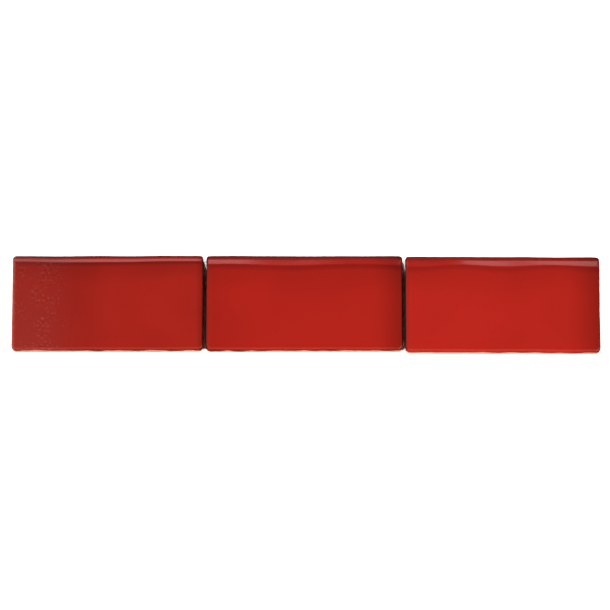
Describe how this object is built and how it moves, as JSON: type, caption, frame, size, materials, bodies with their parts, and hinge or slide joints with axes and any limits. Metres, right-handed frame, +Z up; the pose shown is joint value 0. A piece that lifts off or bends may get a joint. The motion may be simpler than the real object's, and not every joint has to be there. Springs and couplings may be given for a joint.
{
  "type": "glazed bullnose wall tile set",
  "caption": "Row of three loose red glazed clay wall tiles, each about twice as long as deep, with one long edge rounded over, bare clay sides below the glaze and keyed backs.",
  "frame": {"origin": "middle of the row's footprint, on the plane that the backs rest on", "axes": "+X along the row from the left tile to the right one, +Y towards the rounded edges, +Z up out of the glazed faces"},
  "size_m": [0.4492, 0.0773, 0.01],
  "materials": {
    "red_glaze": "gloss",
    "slip": "matte",
    "clay": "matte"
  },
  "bodies": {
    "tile_left": {"biscuit_left": "clay", "slip_left": "slip", "glaze_left": "red_glaze"},
    "tile_centre": {"biscuit_centre": "clay", "slip_centre": "slip", "glaze_centre": "red_glaze"},
    "tile_right": {"biscuit_right": "clay", "slip_right": "slip", "glaze_right": "red_glaze"}
  },
  "joints": [
    {"name": "left_slide", "type": "slide", "parent": "tile_centre", "child": "tile_left", "axis": [-1, 0, 0], "range_m": [-0.0015, 0.04]},
    {"name": "right_slide", "type": "slide", "parent": "tile_centre", "child": "tile_right", "axis": [1, 0, 0], "range_m": [-0.0015, 0.04]}
  ]
}
